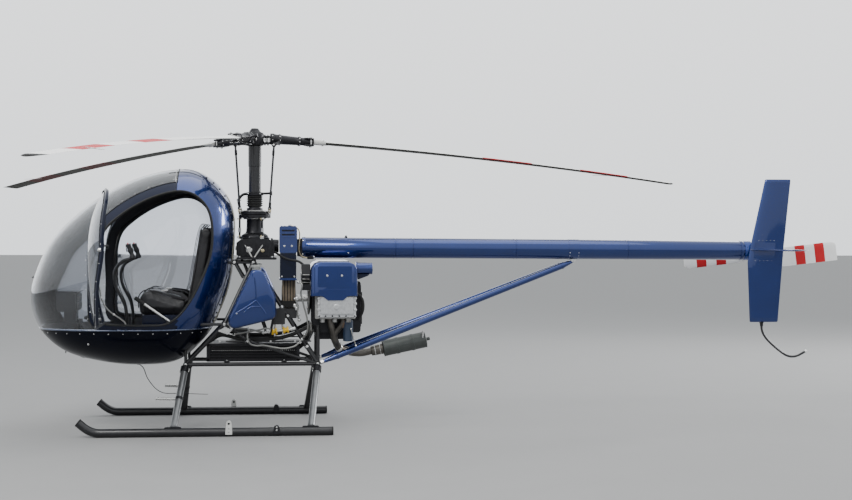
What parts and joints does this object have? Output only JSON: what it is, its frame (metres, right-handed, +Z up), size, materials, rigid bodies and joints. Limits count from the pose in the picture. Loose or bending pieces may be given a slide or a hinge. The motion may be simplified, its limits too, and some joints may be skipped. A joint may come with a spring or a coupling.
{
  "type": "two-seat light helicopter",
  "caption": "Light helicopter on skids with a bubble cabin, swinging doors, open steel frame, main rotor on a bare mast, slim tail boom, fin and tail rotor.",
  "frame": {"origin": "middle of the whole machine's bounding box, on the ground under the skids", "axes": "+X aft towards the tail, +Y to starboard, +Z up"},
  "size_m": [6.9263, 5.894, 2.228],
  "materials": {
    "blue_shell": "gloss metallic blue paint on composite",
    "navy_shell": "gloss dark blue paint on composite",
    "blue_alloy": "gloss metallic blue paint on sheet aluminium",
    "clear": "clear acrylic",
    "black_steel": "satin black paint",
    "black_alloy": "satin black coating",
    "grey_alloy": "cast and machined grey",
    "exhaust_steel": "heat-dulled steel",
    "blade_white": "white gloss with red bands",
    "black_plastic": "matte black",
    "leather": "black upholstery",
    "rubber": "black belt rubber"
  },
  "bodies": {
    "airframe": {"cabin_shell": "blue_shell", "canopy": "clear", "cabin_tub": "navy_shell", "instrument_console": "black_plastic", "seat_bench": "navy_shell", "seat_left": "leather", "seat_right": "leather", "control_sticks": "black_alloy", "pedals": "black_alloy", "frame_left": "black_steel", "frame_right": "black_steel", "cross_tube_front": "black_steel", "cross_tube_rear": "black_steel", "fuel_tank_left": "blue_alloy", "fuel_tank_right": "blue_alloy", "skid_left": "black_alloy", "skid_right": "black_alloy", "gear_front_left": "grey_alloy", "gear_front_right": "grey_alloy", "gear_rear_left": "grey_alloy", "gear_rear_right": "grey_alloy", "main_gearbox": "black_alloy", "swashplate_fixed": "grey_alloy", "belt_cover": "blue_alloy", "drive_belts": "rubber", "engine_block": "grey_alloy", "valve_cover_left": "grey_alloy", "valve_cover_right": "grey_alloy", "engine_cover": "blue_alloy", "exhaust_pipes": "exhaust_steel", "muffler": "exhaust_steel", "radiator": "black_alloy", "tail_boom": "blue_alloy", "boom_strut_left": "blue_alloy", "boom_strut_right": "blue_alloy", "fin": "blue_shell", "stabiliser": "blue_shell", "tail_skid": "black_steel", "tail_gearbox": "black_alloy"},
    "main_rotor": {"mast": "black_steel", "rotor_hub": "black_alloy", "swashplate_rotating": "grey_alloy", "grip_1": "black_alloy", "grip_2": "black_alloy", "grip_3": "black_alloy", "blade_1": "blade_white", "blade_2": "blade_white", "blade_3": "blade_white"},
    "tail_rotor": {"tail_rotor_hub": "black_alloy", "tail_blade_1": "blade_white", "tail_blade_2": "blade_white"},
    "door_left": {"door_left_frame": "navy_shell", "door_left_window": "clear"},
    "door_right": {"door_right_frame": "navy_shell", "door_right_window": "clear"}
  },
  "joints": [
    {"name": "main_rotor_turn", "type": "hinge", "parent": "airframe", "child": "main_rotor", "pos_m": [-1.167, 0.31, 1.5], "axis": [0, 0, 1], "continuous": true},
    {"name": "tail_rotor_turn", "type": "hinge", "parent": "airframe", "child": "tail_rotor", "pos_m": [2.83, 0.56, 1.275], "axis": [0, 1, 0], "continuous": true},
    {"name": "door_left_swing", "type": "hinge", "parent": "airframe", "child": "door_left", "pos_m": [-2.295, -0.312, 1.08], "axis": [0, 0, 1], "range_deg": [0, 92]},
    {"name": "door_right_swing", "type": "hinge", "parent": "airframe", "child": "door_right", "pos_m": [-2.295, 0.932, 1.08], "axis": [0, 0, 1], "range_deg": [0, 92]}
  ]
}
